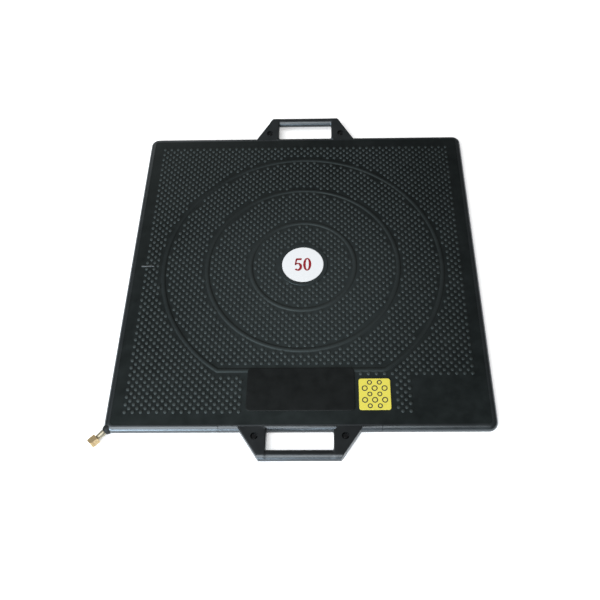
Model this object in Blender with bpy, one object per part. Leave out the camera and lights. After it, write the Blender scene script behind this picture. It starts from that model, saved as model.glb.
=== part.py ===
"""Flat pneumatic lifting bag: laminated rubber body, two bolted carry handles, brass air inlet.

Units are metres and +Z is up.  The origin is the centre of the underside pad, +Y points to the
rear handle, and the air inlet leaves the front left corner (-X, -Y) at 45 degrees.
"""

import math

import bmesh
import bpy
from mathutils import Matrix, Vector

MM = 0.001

# Clearance between neighbouring pieces, and how far joined solids and cutters run on
GAP = 0.3 * MM
JOIN_OVERLAP = 2.0 * MM
CUT_OVERRUN = 5.0 * MM

# Bag outline
BAG_SIDE = 800.0 * MM
SHEET_CORNER_RADIUS = 6.7 * MM
BAND_FLAT = 2.5 * MM
BAND_WEB = 3.0 * MM

# Laminate, from the skin inwards
COVER_THICKNESS = 3.0 * MM
PLY_THICKNESS = 1.0 * MM
PLY_NAMES = ("outer", "middle", "inner")
LINER_THICKNESS = 1.9 * MM

# Moulded relief on the covers
RELIEF = 2.0 * MM
RIB_COUNT = 3
RIB_INNER_RADIUS = 120.0 * MM
RIB_EDGE_MARGIN = 80.0 * MM
RIB_BASE_WIDTH = 12.0 * MM
RIB_TOP_WIDTH = 7.0 * MM
MARKER_RIM_WIDTH = 8.9 * MM
PANEL_RELIEF = 1.6 * MM
PANEL_WIDTH = 224.0 * MM
PANEL_DEPTH = 95.0 * MM
PANEL_FRONT_MARGIN = 41.0 * MM
PANEL_CORNER_RADIUS = 9.0 * MM
PANEL_RIB_SETBACK = 3.0 * MM

# Labels
MARKER_RADIUS = 47.5 * MM
MARKER_THICKNESS = 1.4 * MM
LABEL_WIDTH = 68.0 * MM
LABEL_DEPTH = 71.0 * MM
LABEL_THICKNESS = 0.8 * MM
LABEL_CORNER_RADIUS = 5.0 * MM
LABEL_PANEL_GAP = 7.0 * MM
LABEL_FRONT_INSET = 1.0 * MM
LABEL_RIB_GAP = 5.0 * MM

# Carry handles
HAND_GAP_HALF_WIDTH = 68.0 * MM
HANDLE_REACH = 61.5 * MM
FRONT_HANDLE_TILT = math.radians(4.0)
REAR_HANDLE_TILT = math.radians(12.0)
BASE_TAIL_LENGTH = 43.5 * MM
CHEEK_ROOT_WIDTH = 54.5 * MM
CHEEK_TIP_WIDTH = 13.6 * MM
CHEEK_EDGE_ROUND = 1.5 * MM
GRIP_WIDTH = 22.5 * MM
GRIP_SEAT = 8.0 * MM
GRIP_INSET = 0.5 * MM

# Anchor tabs and M6 fasteners of the handles
TAB_THICKNESS = 2.2 * MM
TAB_WIDTH = 24.0 * MM
TAB_ROOT_LENGTH = 45.0 * MM
BOLT_INSET = 23.5 * MM
BOLT_OUTSET = 12.5 * MM
BOLT_RADIUS = 3.0 * MM
BOLT_TIP_LENGTH = 0.8 * MM
HEAD_ACROSS_FLATS = 10.0 * MM
HEAD_HEIGHT = 4.0 * MM
NUT_HEIGHT = 4.0 * MM
WASHER_RADIUS = 6.0 * MM
WASHER_THICKNESS = 1.2 * MM
SLEEVE_RADIUS = 4.6 * MM
COUNTERBORE_CLEARANCE = 1.6 * MM
HEAD_RECESS = 1.7 * MM
TIP_RECESS = 0.3 * MM

# Air inlet
STEM_RADIUS = 5.0 * MM
STEM_BORE_RADIUS = 3.0 * MM
STEM_FLANGE_CLEARANCE = 0.4 * MM
STEM_FLANGE_THICKNESS = 3.0 * MM
STEM_HEAD_STEP = 1.3 * MM
STEM_HEAD_THICKNESS = 3.0 * MM
SEAL_THICKNESS = 1.2 * MM
BOSS_LENGTH = 5.0 * MM
BOSS_WALL = 2.3 * MM
BOSS_ROOT_INSET = 0.4 * MM
BOSS_ROOT_DEPTH = 3.0 * MM
BOSS_EDGE = 1.0 * MM
STEM_EXPOSED_LENGTH = 18.0 * MM
SWIVEL_WALL = 3.4 * MM
SWIVEL_LIP_LENGTH = 3.6 * MM
SWIVEL_CHAMFER = 1.2 * MM
HOSE_SOCKET_DEPTH = 9.3 * MM
GASKET_THICKNESS = 1.5 * MM
GASKET_BORE_CLEARANCE = 0.4 * MM

# Facet counts
CORNER_STEPS = 8
EDGE_STEPS = 10
RIB_STEPS = 72
TURNED_STEPS = 24
SMALL_STEPS = 18

# Derived levels, all from the values above
STACK_HEIGHT = COVER_THICKNESS + len(PLY_NAMES) * (PLY_THICKNESS + GAP) + GAP + LINER_THICKNESS
CHAMBER_HEIGHT = TAB_THICKNESS + 2 * GAP
BODY_HEIGHT = 2 * STACK_HEIGHT + CHAMBER_HEIGHT
BODY_BOTTOM = RELIEF
BODY_TOP = BODY_BOTTOM + BODY_HEIGHT
MID_HEIGHT = BODY_BOTTOM + BODY_HEIGHT / 2
EDGE_RADIUS = BODY_HEIGHT / 2
BAND_WIDTH = EDGE_RADIUS + BAND_FLAT
BAG_HALF = BAG_SIDE / 2
SHEET_HALF = BAG_HALF - BAND_WIDTH - GAP
WALL_HALF = SHEET_HALF + GAP
WALL_CORNER_RADIUS = SHEET_CORNER_RADIUS + GAP
CORNER_CENTRE = SHEET_HALF - SHEET_CORNER_RADIUS
OUTER_CORNER_RADIUS = WALL_CORNER_RADIUS + BAND_WIDTH

# Relief and labels: even ring ribs, the outer one cut by a chord behind the panel and label
RIB_SPACING = (BAG_HALF - RIB_EDGE_MARGIN - RIB_INNER_RADIUS) / (RIB_COUNT - 1)
RIB_RADII = [RIB_INNER_RADIUS + RIB_SPACING * number for number in range(RIB_COUNT)]
LABEL_STRIP = LABEL_FRONT_INSET + LABEL_DEPTH + LABEL_RIB_GAP + RIB_BASE_WIDTH
FRONT_STRIP = PANEL_FRONT_MARGIN + max(PANEL_DEPTH + PANEL_RIB_SETBACK, LABEL_STRIP)
CHORD_DISTANCE = BAG_HALF - FRONT_STRIP + RIB_BASE_WIDTH / 2
CENTRE_PAD_RADIUS = MARKER_RADIUS + 2 * GAP + MARKER_RIM_WIDTH
LABEL_CENTRE_X = PANEL_WIDTH / 2 + LABEL_PANEL_GAP + LABEL_WIDTH / 2

# Handles and their fasteners
HANDLE_NOTCH_DEPTH = BAND_WIDTH - BAND_WEB
CHEEK_ROOT_HALF_WIDTH = HAND_GAP_HALF_WIDTH + CHEEK_ROOT_WIDTH
CHEEK_TIP_HALF_WIDTH = HAND_GAP_HALF_WIDTH + CHEEK_TIP_WIDTH
HANDLE_BASE_LENGTH = 2 * (CHEEK_ROOT_HALF_WIDTH + BASE_TAIL_LENGTH)
GRIP_THICKNESS = 2 * (EDGE_RADIUS - GRIP_INSET)
BOLT_SPACING = 2 * (HAND_GAP_HALF_WIDTH + BOLT_INSET)
COUNTERBORE_RADIUS = WASHER_RADIUS + COUNTERBORE_CLEARANCE
COUNTERBORE_DEPTH = 2 * GAP + WASHER_THICKNESS + HEAD_HEIGHT + HEAD_RECESS
NUT_POCKET_DEPTH = GAP + NUT_HEIGHT + BOLT_TIP_LENGTH + TIP_RECESS

# Inlet radii, from the stem outwards
GUSSET_HALF_HEIGHT = EDGE_RADIUS - COVER_THICKNESS - GAP
STEM_FLANGE_RADIUS = GUSSET_HALF_HEIGHT - STEM_FLANGE_CLEARANCE
STEM_HEAD_RADIUS = STEM_RADIUS + STEM_HEAD_STEP
SOCKET_RADIUS = STEM_HEAD_RADIUS + GAP
SWIVEL_ACROSS_FLATS = 2 * (SOCKET_RADIUS + SWIVEL_WALL)
BOSS_TIP_RADIUS = STEM_RADIUS + GAP + BOSS_WALL
GASKET_BORE_RADIUS = STEM_BORE_RADIUS + GASKET_BORE_CLEARANCE

# Stations along the inlet axis, measured outwards from the corner centre
FLANGE_START = -(2 * GAP + SEAL_THICKNESS + STEM_FLANGE_THICKNESS)
FLANGE_END = FLANGE_START + STEM_FLANGE_THICKNESS
INLET_POCKET = FLANGE_START - 2 * GAP
BOSS_END = OUTER_CORNER_RADIUS + BOSS_LENGTH
SWIVEL_START = BOSS_END + STEM_EXPOSED_LENGTH
STEM_HEAD_START = SWIVEL_START + SWIVEL_LIP_LENGTH + GAP
STEM_HEAD_END = STEM_HEAD_START + STEM_HEAD_THICKNESS
GASKET_START = STEM_HEAD_END + GAP
GASKET_END = GASKET_START + GASKET_THICKNESS
SWIVEL_END = GASKET_END + HOSE_SOCKET_DEPTH

for old in list(bpy.data.objects):
    bpy.data.objects.remove(old, do_unlink=True)


def make_material(name, colour, roughness, metallic=0.0):
    material = bpy.data.materials.new(name)
    material.use_nodes = True
    shader = material.node_tree.nodes["Principled BSDF"]
    shader.inputs["Base Color"].default_value = (*colour, 1.0)
    shader.inputs["Roughness"].default_value = roughness
    shader.inputs["Metallic"].default_value = metallic
    return material


RUBBER = make_material("black rubber", (0.012, 0.013, 0.014), 0.5)
HANDLE_RUBBER = make_material("handle rubber", (0.010, 0.011, 0.012), 0.4)
LINER_RUBBER = make_material("butyl liner", (0.03, 0.026, 0.024), 0.6)
ARAMID = make_material("aramid cord ply", (0.55, 0.42, 0.12), 0.8)
WEBBING = make_material("rubbered webbing", (0.04, 0.04, 0.045), 0.8)
STEEL = make_material("zinc steel", (0.55, 0.56, 0.57), 0.35, 1.0)
BRASS = make_material("brass", (0.62, 0.44, 0.18), 0.3, 1.0)
SEAL_RUBBER = make_material("seal rubber", (0.02, 0.02, 0.02), 0.6)
WHITE = make_material("white marker", (0.85, 0.85, 0.84), 0.5)
YELLOW = make_material("yellow label", (0.83, 0.70, 0.04), 0.5)


def frame_empty(name, location, rotation=None):
    empty = bpy.data.objects.new(name, None)
    empty.empty_display_size = 0.03
    bpy.context.scene.collection.objects.link(empty)
    turn = rotation.to_matrix().to_4x4() if rotation else Matrix()
    empty.matrix_world = Matrix.Translation(location) @ turn
    return empty


def make_object(name, bm, material, parent=None, location=(0.0, 0.0, 0.0), smooth_angle=None):
    bmesh.ops.remove_doubles(bm, verts=bm.verts, dist=1e-7)
    bmesh.ops.recalc_face_normals(bm, faces=bm.faces)
    mesh = bpy.data.meshes.new(name)
    bm.to_mesh(mesh)
    bm.free()
    mesh.materials.append(material)
    if smooth_angle:
        mesh.shade_smooth()
        mesh.set_sharp_from_angle(angle=math.radians(smooth_angle))
    obj = bpy.data.objects.new(name, mesh)
    bpy.context.scene.collection.objects.link(obj)
    obj.parent = parent
    obj.location = location
    return obj


def combine(target, helper, operation):
    helper.hide_render = True
    helper.display_type = "WIRE"
    modifier = target.modifiers.new(f"{operation.lower()} {helper.name}", "BOOLEAN")
    modifier.operation = operation
    modifier.solver = "EXACT"
    modifier.object = helper


def join_loops(bm, first, second):
    count = len(first)
    for i in range(count):
        j = (i + 1) % count
        bm.faces.new((first[i], first[j], second[j], second[i]))


def capped_solid(loops):
    """A solid lofted through closed loops of equal count, with a cap on each end."""
    bm = bmesh.new()
    rows = [[bm.verts.new(point) for point in loop] for loop in loops]
    for first, second in zip(rows, rows[1:]):
        join_loops(bm, first, second)
    bm.faces.new(list(reversed(rows[0])))
    bm.faces.new(rows[-1])
    return bm


def ring_solid(loops):
    """A ring lofted through closed loops of equal count, the last joined to the first."""
    bm = bmesh.new()
    rows = [[bm.verts.new(point) for point in loop] for loop in loops]
    for first, second in zip(rows, rows[1:] + rows[:1]):
        join_loops(bm, first, second)
    return bm


def cut_away(bm, point, normal):
    """Removes what lies on the normal's side of a plane and closes the cut."""
    geometry = bm.verts[:] + bm.edges[:] + bm.faces[:]
    cut = bmesh.ops.bisect_plane(
        bm, geom=geometry, dist=1e-7, plane_co=point, plane_no=normal, clear_outer=True
    )
    edges = [item for item in cut["geom_cut"] if isinstance(item, bmesh.types.BMEdge)]
    bmesh.ops.contextual_create(bm, geom=edges)


def circle(radius, height, steps):
    angles = [2 * math.pi * i / steps for i in range(steps)]
    return [(radius * math.cos(a), radius * math.sin(a), height) for a in angles]


def hexagon(across_flats, height, steps):
    """A hexagon sampled at equal angles, so that it joins a circle of the same count."""
    points = []
    for i in range(steps):
        angle = 2 * math.pi * i / steps
        offset = (angle % (math.pi / 3)) - math.pi / 6
        radius = across_flats / 2 / math.cos(offset)
        points.append((radius * math.cos(angle), radius * math.sin(angle), height))
    return points


def rounded_square(half, radius, height, pocket=None):
    """A square with rounded corners; pocket cuts the front left corner off at that station."""
    centre = half - radius
    points = []
    for quarter, (sx, sy) in enumerate(((1, 1), (-1, 1), (-1, -1), (1, -1))):
        if pocket is not None and quarter == 2:
            reach = half - 2 * radius + pocket * math.sqrt(2)
            points += [(-half, -reach, height), (-reach, -half, height)]
            continue
        for step in range(CORNER_STEPS + 1):
            angle = math.pi / 2 * (quarter + step / CORNER_STEPS)
            x = sx * centre + radius * math.cos(angle)
            y = sy * centre + radius * math.sin(angle)
            points.append((x, y, height))
    return points


def rounded_rectangle(width, depth, radius, centre_y, height, steps=4):
    points = []
    for quarter, (sx, sy) in enumerate(((1, 1), (-1, 1), (-1, -1), (1, -1))):
        for step in range(steps + 1):
            angle = math.pi / 2 * (quarter + step / steps)
            x = sx * (width / 2 - radius) + radius * math.cos(angle)
            y = sy * (depth / 2 - radius) + radius * math.sin(angle)
            points.append((x, y + centre_y, height))
    return points


def rib_loop(radius, chord, height):
    """A circle, or a circle cut by a straight chord in front of the centre."""
    if chord is None or chord >= radius:
        return circle(radius, height, RIB_STEPS)
    half_sweep = math.pi - math.acos(chord / radius)
    points = []
    for step in range(RIB_STEPS):
        angle = math.pi / 2 + half_sweep * (2 * step / (RIB_STEPS - 1) - 1)
        points.append((radius * math.cos(angle), radius * math.sin(angle), height))
    return points


def rib_solid(radius, chord, surface, side):
    """A trapezium rib; its flanks run on into the cover, and side is +1 on the upper face."""
    depth = COVER_THICKNESS / 3
    slim = RIB_TOP_WIDTH / 2
    wide = RIB_BASE_WIDTH / 2 + (RIB_BASE_WIDTH / 2 - slim) * depth / RELIEF
    root = surface - side * depth
    crest = surface + side * RELIEF
    section = ((wide, root), (slim, crest), (-slim, crest), (-wide, root))
    loops = []
    for offset, height in section:
        limit = None if chord is None else chord + offset
        loops.append(rib_loop(radius + offset, limit, height))
    return ring_solid(loops)


def turned_ring(profile, steps):
    return ring_solid([circle(radius, height, steps) for radius, height in profile])


def turned_solid(profile, steps):
    return capped_solid([circle(radius, height, steps) for radius, height in profile])


def edge_section(inner):
    """Offset and height of the half-round edge, from its inner wall round to the start."""
    points = [(inner, -EDGE_RADIUS)]
    for step in range(EDGE_STEPS + 1):
        angle = math.pi * (step / EDGE_STEPS - 0.5)
        points.append((-EDGE_RADIUS + EDGE_RADIUS * math.cos(angle), EDGE_RADIUS * math.sin(angle)))
    points.append((inner, EDGE_RADIUS))
    return points


# The lower half stays on the ground, the edge rises with the air, the upper half rises with it.
RIM_FRAME = frame_empty("rim_frame", (0.0, 0.0, MID_HEIGHT))
CROWN_FRAME = frame_empty("crown_frame", (0.0, 0.0, BODY_TOP))
INLET_DIRECTION = Vector((-1.0, -1.0, 0.0)).normalized()
INLET_FRAME = frame_empty(
    "inlet_axis",
    (-CORNER_CENTRE, -CORNER_CENTRE, MID_HEIGHT),
    INLET_DIRECTION.to_track_quat("Z", "Y"),
)


def sheet(name, near, thickness, side, material, pocket):
    """A flat sheet of the laminate; near is its distance from the middle of the bag."""
    low, high = sorted((side * near, side * (near + thickness)))
    parent = CROWN_FRAME if side > 0 else None
    shift = MID_HEIGHT - (BODY_TOP if side > 0 else 0.0)
    outline = [
        rounded_square(SHEET_HALF, SHEET_CORNER_RADIUS, height + shift, pocket)
        for height in (low, high)
    ]
    return make_object(name, capped_solid(outline), material, parent)


# Laminate of each half: liner, three cord plies and the ribbed cover
COVERS = {}
for half_name, side in (("lower", -1), ("upper", 1)):
    near = CHAMBER_HEIGHT / 2
    sheet(f"{half_name}_liner", near, LINER_THICKNESS, side, LINER_RUBBER, INLET_POCKET)
    near += LINER_THICKNESS + GAP
    for ply_name in reversed(PLY_NAMES):
        sheet(f"{half_name}_{ply_name}_ply", near, PLY_THICKNESS, side, ARAMID, INLET_POCKET)
        near += PLY_THICKNESS + GAP
    COVERS[half_name] = sheet(f"{half_name}_cover", near, COVER_THICKNESS, side, RUBBER, None)

# Lower face: three ring ribs and a plain centre pad, all level where they meet the ground
for number, radius in enumerate(RIB_RADII, 1):
    rib = make_object(f"lower_rib_{number}", rib_solid(radius, None, BODY_BOTTOM, -1), RUBBER)
    combine(COVERS["lower"], rib, "UNION")
lower_pad = turned_solid(
    ((CENTRE_PAD_RADIUS, BODY_BOTTOM + COVER_THICKNESS / 3), (CENTRE_PAD_RADIUS, 0.0)),
    RIB_STEPS,
)
combine(COVERS["lower"], make_object("lower_pad", lower_pad, RUBBER), "UNION")

# Upper face: two ring ribs, an outer one cut by a chord, the marker rim and the name panel
for number, radius in enumerate(RIB_RADII, 1):
    chord = CHORD_DISTANCE if radius == max(RIB_RADII) else None
    rib = make_object(f"upper_rib_{number}", rib_solid(radius, chord, 0.0, 1), RUBBER, CROWN_FRAME)
    combine(COVERS["upper"], rib, "UNION")
rim_inner = MARKER_RADIUS + 2 * GAP
rim_profile = (
    (CENTRE_PAD_RADIUS, -COVER_THICKNESS / 3),
    (CENTRE_PAD_RADIUS, RELIEF),
    (rim_inner, RELIEF),
    (rim_inner, -COVER_THICKNESS / 3),
)
marker_rim = make_object("marker_rim", turned_ring(rim_profile, RIB_STEPS), RUBBER, CROWN_FRAME)
combine(COVERS["upper"], marker_rim, "UNION")
panel_y = -BAG_HALF + PANEL_FRONT_MARGIN + PANEL_DEPTH / 2
panel_loops = []
for height in (-COVER_THICKNESS / 4, PANEL_RELIEF):
    panel_loops.append(rounded_rectangle(
        PANEL_WIDTH - 2 * height, PANEL_DEPTH - 2 * height, PANEL_CORNER_RADIUS - height,
        panel_y, height,
    ))
panel = make_object("name_panel", capped_solid(panel_loops), RUBBER, CROWN_FRAME)
combine(COVERS["upper"], panel, "UNION")

# Labels set on the upper cover
marker_profile = ((MARKER_RADIUS, GAP), (MARKER_RADIUS, GAP + MARKER_THICKNESS))
make_object("centre_marker", turned_solid(marker_profile, RIB_STEPS), WHITE, CROWN_FRAME)
label_loops = [
    rounded_rectangle(LABEL_WIDTH, LABEL_DEPTH, LABEL_CORNER_RADIUS, 0.0, height)
    for height in (GAP, GAP + LABEL_THICKNESS)
]
label_y = -BAG_HALF + PANEL_FRONT_MARGIN + LABEL_FRONT_INSET + LABEL_DEPTH / 2
make_object("label_plate", capped_solid(label_loops), YELLOW, CROWN_FRAME,
            (LABEL_CENTRE_X, label_y, 0.0))

# Edge band: a half-round strip all round the bag, notched for the handles
band_loops = [
    rounded_square(BAG_HALF + offset, OUTER_CORNER_RADIUS + offset, height)
    for offset, height in edge_section(-BAND_WIDTH)
]
EDGE_BAND = make_object("edge_band", ring_solid(band_loops), RUBBER, RIM_FRAME, smooth_angle=35)

# Inlet corner of the band: a gusset inside, a tapered boss outside, and the stem hole
gusset_root_width = math.sqrt(2) * WALL_CORNER_RADIUS + JOIN_OVERLAP
gusset_tip = WALL_CORNER_RADIUS + JOIN_OVERLAP
gusset_loops = []
for station, width in ((0.0, gusset_root_width), (gusset_tip, gusset_root_width - gusset_tip)):
    gusset_loops.append([
        (sx * width, sy * GUSSET_HALF_HEIGHT, station)
        for sx, sy in ((-1, -1), (1, -1), (1, 1), (-1, 1))
    ])
gusset = make_object("inlet_gusset", capped_solid(gusset_loops), RUBBER, INLET_FRAME)
combine(EDGE_BAND, gusset, "UNION")
boss_profile = (
    (EDGE_RADIUS - BOSS_ROOT_INSET, WALL_CORNER_RADIUS + BOSS_ROOT_DEPTH),
    (EDGE_RADIUS - BOSS_ROOT_INSET, OUTER_CORNER_RADIUS - BOSS_EDGE),
    (BOSS_TIP_RADIUS, BOSS_END - BOSS_EDGE),
    (BOSS_TIP_RADIUS - BOSS_EDGE, BOSS_END),
)
boss = make_object("inlet_boss", turned_solid(boss_profile, TURNED_STEPS), RUBBER, INLET_FRAME)
boss.rotation_euler.z = math.pi / TURNED_STEPS
combine(EDGE_BAND, boss, "UNION")
hole_profile = ((STEM_RADIUS + GAP, -CUT_OVERRUN), (STEM_RADIUS + GAP, BOSS_END + CUT_OVERRUN))
stem_hole = make_object("stem_hole", turned_solid(hole_profile, TURNED_STEPS), RUBBER, INLET_FRAME)
combine(EDGE_BAND, stem_hole, "DIFFERENCE")

# Air inlet: a flanged stem through the corner, its seal, and a swivelling hose nut
stem_profile = (
    (STEM_FLANGE_RADIUS, FLANGE_START), (STEM_FLANGE_RADIUS, FLANGE_END),
    (STEM_RADIUS, FLANGE_END), (STEM_RADIUS, STEM_HEAD_START),
    (STEM_HEAD_RADIUS, STEM_HEAD_START), (STEM_HEAD_RADIUS, STEM_HEAD_END),
    (STEM_BORE_RADIUS, STEM_HEAD_END), (STEM_BORE_RADIUS, FLANGE_START),
)
make_object("inlet_stem", turned_ring(stem_profile, TURNED_STEPS), BRASS, INLET_FRAME,
            smooth_angle=35)
seal_profile = (
    (STEM_FLANGE_RADIUS, FLANGE_END + GAP), (STEM_FLANGE_RADIUS, -GAP),
    (STEM_RADIUS + GAP, -GAP), (STEM_RADIUS + GAP, FLANGE_END + GAP),
)
make_object("inlet_seal", turned_ring(seal_profile, TURNED_STEPS), SEAL_RUBBER, INLET_FRAME)
lip_end = SWIVEL_START + SWIVEL_LIP_LENGTH
swivel_loops = [
    circle(SWIVEL_ACROSS_FLATS / 2, SWIVEL_START, TURNED_STEPS),
    hexagon(SWIVEL_ACROSS_FLATS, SWIVEL_START + SWIVEL_CHAMFER, TURNED_STEPS),
    hexagon(SWIVEL_ACROSS_FLATS, SWIVEL_END - SWIVEL_CHAMFER, TURNED_STEPS),
    circle(SWIVEL_ACROSS_FLATS / 2, SWIVEL_END, TURNED_STEPS),
    circle(SOCKET_RADIUS, SWIVEL_END, TURNED_STEPS),
    circle(SOCKET_RADIUS, lip_end, TURNED_STEPS),
    circle(STEM_RADIUS + GAP, lip_end, TURNED_STEPS),
    circle(STEM_RADIUS + GAP, SWIVEL_START, TURNED_STEPS),
]
make_object("swivel_nut", ring_solid(swivel_loops), BRASS, INLET_FRAME)
gasket_profile = (
    (STEM_HEAD_RADIUS, GASKET_START), (STEM_HEAD_RADIUS, GASKET_END),
    (GASKET_BORE_RADIUS, GASKET_END), (GASKET_BORE_RADIUS, GASKET_START),
)
make_object("hose_gasket", turned_ring(gasket_profile, TURNED_STEPS), SEAL_RUBBER, INLET_FRAME)

# Handle coordinates: x along the bag edge, y outwards from it, z from the middle of the bag.
# Plate coordinates start on the axis of the half-round edge and rise with the tilt of the handle.
HANDLE_BACK = -(HANDLE_NOTCH_DEPTH - GAP)
PLATE_BACK = HANDLE_BACK + GAP + EDGE_RADIUS
PLATE_END = HANDLE_REACH + EDGE_RADIUS
NOSE_CENTRE = PLATE_END - EDGE_RADIUS
BOLT_STATION = BOLT_OUTSET + EDGE_RADIUS
COUNTERBORE_FLOOR = EDGE_RADIUS - COUNTERBORE_DEPTH
POCKET_ROOF = -EDGE_RADIUS + NUT_POCKET_DEPTH


def along_x(section, start, end):
    """A solid that carries a closed y, z section along x."""
    return capped_solid([[(x, y, z) for y, z in section] for x in (start, end)])


def base_strip():
    bm = along_x(edge_section(-BAND_WIDTH), -HANDLE_BASE_LENGTH / 2, HANDLE_BASE_LENGTH / 2)
    cut_away(bm, (0.0, HANDLE_BACK, 0.0), (0.0, -1.0, 0.0))
    return bm


def cheek(sign, tilt):
    """One flat cheek of a handle: a plate with a round nose and a slanting outer side."""
    section = [(-EDGE_RADIUS, -EDGE_RADIUS)]
    for step in range(EDGE_STEPS + 1):
        angle = math.pi * (step / EDGE_STEPS - 0.5)
        section.append((NOSE_CENTRE + EDGE_RADIUS * math.cos(angle), EDGE_RADIUS * math.sin(angle)))
    section.append((-EDGE_RADIUS, EDGE_RADIUS))
    slope = (CHEEK_ROOT_HALF_WIDTH - CHEEK_TIP_HALF_WIDTH) / HANDLE_REACH
    spread = CHEEK_ROOT_HALF_WIDTH + slope * 3 * EDGE_RADIUS
    bm = along_x(section, sign * HAND_GAP_HALF_WIDTH, sign * spread)
    cut_away(bm, (sign * CHEEK_ROOT_HALF_WIDTH, EDGE_RADIUS, 0.0), (sign, slope, 0.0))
    outwards = Vector((0.0, math.cos(tilt), -math.sin(tilt)))
    cut_away(bm, outwards * PLATE_BACK, -outwards)
    bmesh.ops.recalc_face_normals(bm, faces=bm.faces)
    sharp = [
        edge for edge in bm.edges
        if edge.is_manifold and edge.calc_face_angle() > math.radians(40)
        and any(vert.co.dot(outwards) > PLATE_BACK + GAP for vert in edge.verts)
    ]
    bmesh.ops.bevel(bm, geom=sharp, offset=CHEEK_EDGE_ROUND, segments=2, profile=0.5,
                    affect="EDGES", clamp_overlap=True)
    return bm


def grip_bar():
    """The oval bar between the cheeks, its ends seated in them."""
    centre = PLATE_END - GRIP_INSET - GRIP_WIDTH / 2
    section = [
        (centre + y * GRIP_WIDTH / 2, z * GRIP_THICKNESS / 2)
        for y, z, _ in circle(1.0, 0.0, TURNED_STEPS)
    ]
    reach = HAND_GAP_HALF_WIDTH + GRIP_SEAT
    return along_x(section, -reach, reach)


def tab_solid(grow, tilt):
    """An anchor tab: level in the bag, bent up with the handle, round about its bolt."""
    half = TAB_WIDTH / 2 + grow
    thick = TAB_THICKNESS / 2 + grow
    rise, run = math.sin(tilt), math.cos(tilt)
    inner = -(BAND_WIDTH + TAB_ROOT_LENGTH) - grow
    corners = ((-1, -1), (1, -1), (1, 1), (-1, 1))
    bend = math.tan(tilt / 2)
    loops = [
        [(sx * half, inner, sz * thick) for sx, sz in corners],
        [(sx * half, -EDGE_RADIUS - sz * thick * bend, sz * thick) for sx, sz in corners],
    ]
    steps = SMALL_STEPS // 2
    for step in range((steps + 1) // 2):
        angle = math.pi * step / steps
        width = half * math.cos(angle)
        along = BOLT_STATION + half * math.sin(angle)
        loops.append([
            (sx * width, -EDGE_RADIUS + along * run - sz * thick * rise,
             along * rise + sz * thick * run)
            for sx, sz in corners
        ])
    return capped_solid(loops)


def bolt_hole():
    """Cutter for one bolt: counterbore on top, sleeve hole, nut pocket below."""
    return turned_solid((
        (COUNTERBORE_RADIUS, EDGE_RADIUS + CUT_OVERRUN), (COUNTERBORE_RADIUS, COUNTERBORE_FLOOR),
        (SLEEVE_RADIUS + GAP, COUNTERBORE_FLOOR), (SLEEVE_RADIUS + GAP, POCKET_ROOF),
        (COUNTERBORE_RADIUS, POCKET_ROOF), (COUNTERBORE_RADIUS, -EDGE_RADIUS - CUT_OVERRUN),
    ), SMALL_STEPS)


def hex_bolt():
    head_base = COUNTERBORE_FLOOR + 2 * GAP + WASHER_THICKNESS
    tip = POCKET_ROOF - GAP - NUT_HEIGHT - BOLT_TIP_LENGTH
    return capped_solid([
        circle(BOLT_RADIUS, tip, SMALL_STEPS),
        circle(BOLT_RADIUS, head_base, SMALL_STEPS),
        hexagon(HEAD_ACROSS_FLATS, head_base, SMALL_STEPS),
        hexagon(HEAD_ACROSS_FLATS, head_base + HEAD_HEIGHT * 0.85, SMALL_STEPS),
        circle(HEAD_ACROSS_FLATS * 0.46, head_base + HEAD_HEIGHT, SMALL_STEPS),
    ])


def hex_nut():
    top = POCKET_ROOF - GAP
    return ring_solid([
        hexagon(HEAD_ACROSS_FLATS, top - NUT_HEIGHT, SMALL_STEPS),
        hexagon(HEAD_ACROSS_FLATS, top, SMALL_STEPS),
        circle(BOLT_RADIUS + GAP, top, SMALL_STEPS),
        circle(BOLT_RADIUS + GAP, top - NUT_HEIGHT, SMALL_STEPS),
    ])


def tube(outer, inner, low, high):
    return turned_ring(((outer, low), (outer, high), (inner, high), (inner, low)), SMALL_STEPS)


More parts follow.
